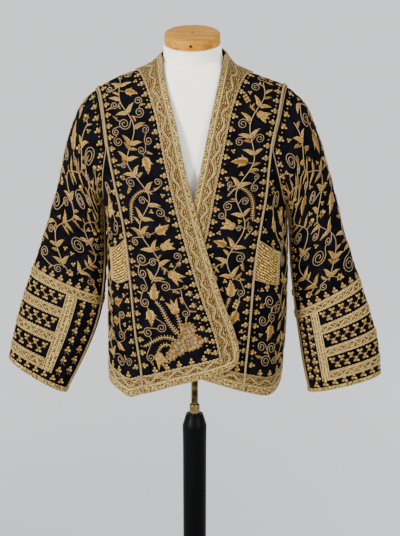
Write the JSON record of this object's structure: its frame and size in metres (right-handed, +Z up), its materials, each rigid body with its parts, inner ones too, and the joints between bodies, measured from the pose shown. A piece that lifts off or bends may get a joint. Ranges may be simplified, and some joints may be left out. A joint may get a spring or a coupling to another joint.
{
  "type": "embroidered wool jacket on a dress form",
  "caption": "Short black wool jacket with crossed fronts, gold couched bands and combed cuffs, worn by a limbless dress form on a round stand.",
  "frame": {"origin": "on the floor, under the middle of the pole, at the base's underside", "axes": "+Z up along the pole; the jacket's fronts face -Y; +X is towards the wearer's left arm"},
  "size_m": [0.7542, 0.33, 1.5027],
  "materials": {
    "black_wool": "fulled wool broadcloth with a soft short nap",
    "gold_couching": "couched gold thread and braid with a low metallic sheen",
    "form_cover": "tight off-white cotton cover",
    "turned_timber": "turned timber with a satin varnish",
    "black_stand": "black satin paint",
    "aged_brass": "worn brass, darkened with age"
  },
  "bodies": {
    "stand": {"base": "black_stand", "pole": "black_stand", "collar": "aged_brass"},
    "rod": {"rod": "aged_brass"},
    "figure": {"torso": "form_cover", "neck_cap": "turned_timber", "back": "black_wool", "front_right": "black_wool", "front_left": "black_wool", "side_right": "black_wool", "side_left": "black_wool", "sleeve_right": "black_wool", "sleeve_left": "black_wool", "front_band_right": "gold_couching", "front_band_left": "gold_couching", "neck_band_back": "gold_couching", "hem_band_front_right": "gold_couching", "hem_band_front_left": "gold_couching", "hem_band_side_right": "gold_couching", "hem_band_side_left": "gold_couching", "hem_band_back": "gold_couching", "pocket_right": "gold_couching", "pocket_left": "gold_couching", "seam_cord_front_right": "gold_couching", "seam_cord_front_left": "gold_couching", "seam_cord_back_right": "gold_couching", "seam_cord_back_left": "gold_couching", "cuff_band_right_1": "gold_couching", "cuff_band_right_2": "gold_couching", "cuff_band_right_3": "gold_couching", "cuff_band_right_4": "gold_couching", "cuff_band_left_1": "gold_couching", "cuff_band_left_2": "gold_couching", "cuff_band_left_3": "gold_couching", "cuff_band_left_4": "gold_couching", "cuff_strip_right": "gold_couching", "cuff_strip_left": "gold_couching", "cuff_edging_right": "gold_couching", "cuff_edging_left": "gold_couching"}
  },
  "joints": [
    {"name": "height", "type": "slide", "parent": "stand", "child": "rod", "axis": [0, 0, 1], "range_m": [-0.04, 0.1]},
    {"name": "turn", "type": "hinge", "parent": "rod", "child": "figure", "pos_m": [0, 0, 0.93], "axis": [0, 0, 1], "continuous": true}
  ]
}
